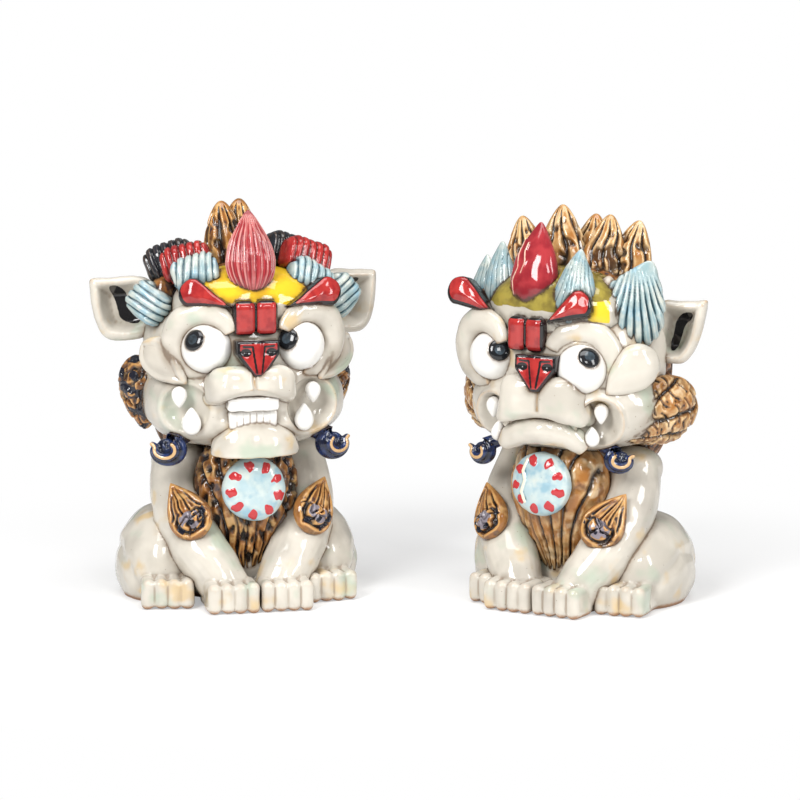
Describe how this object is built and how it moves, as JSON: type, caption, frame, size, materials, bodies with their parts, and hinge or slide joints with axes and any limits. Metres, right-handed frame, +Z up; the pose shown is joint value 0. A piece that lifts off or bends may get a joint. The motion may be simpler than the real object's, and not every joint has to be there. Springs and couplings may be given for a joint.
{
  "type": "guardian lion figurine pair",
  "caption": "Pair of seated glazed stoneware guardian lions for a shelf or gate, turned towards each other, one with an open mouth and one with a closed mouth, each built from pressed-on lumps.",
  "frame": {"origin": "on the table that the lions stand on, at the middle of the box round the pair", "axes": "+Z is up, +X is the viewer's right when the lions are seen from the front, along the row of the two lions, and -Y is the side they look out of. Lion A, with the open mouth, is at -X and lion B at +X."},
  "size_m": [0.2268, 0.0908, 0.1469],
  "materials": {
    "ivory_glaze": "high gloss grey-ivory glaze, toasted brown where it runs thin",
    "white_glaze": "high gloss opaque white glaze",
    "red_glaze": "high gloss red glaze with black outlines",
    "rose_glaze": "high gloss crimson glaze, paler on the ridges",
    "sky_glaze": "high gloss pale grey-blue glaze, teal in the grooves",
    "amber_glaze": "high gloss amber glaze, blue-black in the grooves",
    "cobalt_glaze": "high gloss blue-black glaze"
  },
  "bodies": {
    "root": {"lion_a_torso": "ivory_glaze", "lion_a_head": "amber_glaze", "lion_a_front_leg_left": "ivory_glaze", "lion_a_front_leg_right": "ivory_glaze", "lion_a_haunch_left": "ivory_glaze", "lion_a_haunch_right": "ivory_glaze", "lion_a_tail": "amber_glaze", "lion_a_bib": "amber_glaze", "lion_a_face": "ivory_glaze", "lion_a_muzzle": "ivory_glaze", "lion_a_lower_lip": "ivory_glaze", "lion_a_eye_hood_left": "ivory_glaze", "lion_a_eye_hood_right": "ivory_glaze", "lion_a_eye_left": "white_glaze", "lion_a_eye_right": "white_glaze", "lion_a_nose": "red_glaze", "lion_a_brow_left": "red_glaze", "lion_a_brow_right": "red_glaze", "lion_a_ear_left": "ivory_glaze", "lion_a_ear_right": "ivory_glaze", "lion_a_crown_petal": "rose_glaze", "lion_a_crown_tufts_left": "sky_glaze", "lion_a_crown_tufts_right": "sky_glaze", "lion_a_cheek_mane_left": "amber_glaze", "lion_a_cheek_mane_right": "amber_glaze", "lion_a_curl_left": "cobalt_glaze", "lion_a_curl_right": "cobalt_glaze", "lion_a_medallion": "sky_glaze", "lion_a_elbow_tuft_left": "amber_glaze", "lion_a_elbow_tuft_right": "amber_glaze", "lion_b_torso": "ivory_glaze", "lion_b_head": "amber_glaze", "lion_b_front_leg_left": "ivory_glaze", "lion_b_front_leg_right": "ivory_glaze", "lion_b_haunch_left": "ivory_glaze", "lion_b_haunch_right": "ivory_glaze", "lion_b_tail": "amber_glaze", "lion_b_bib": "amber_glaze", "lion_b_face": "ivory_glaze", "lion_b_muzzle": "ivory_glaze", "lion_b_lower_lip": "ivory_glaze", "lion_b_eye_hood_left": "ivory_glaze", "lion_b_eye_hood_right": "ivory_glaze", "lion_b_eye_left": "white_glaze", "lion_b_eye_right": "white_glaze", "lion_b_nose": "red_glaze", "lion_b_brow_left": "red_glaze", "lion_b_brow_right": "red_glaze", "lion_b_ear_left": "ivory_glaze", "lion_b_ear_right": "ivory_glaze", "lion_b_crown_petal": "rose_glaze", "lion_b_crown_tufts_left": "sky_glaze", "lion_b_crown_tufts_right": "sky_glaze", "lion_b_cheek_mane_left": "amber_glaze", "lion_b_cheek_mane_right": "amber_glaze", "lion_b_curl_left": "cobalt_glaze", "lion_b_curl_right": "cobalt_glaze", "lion_b_medallion": "sky_glaze", "lion_b_elbow_tuft_left": "amber_glaze", "lion_b_elbow_tuft_right": "amber_glaze"}
  },
  "joints": []
}
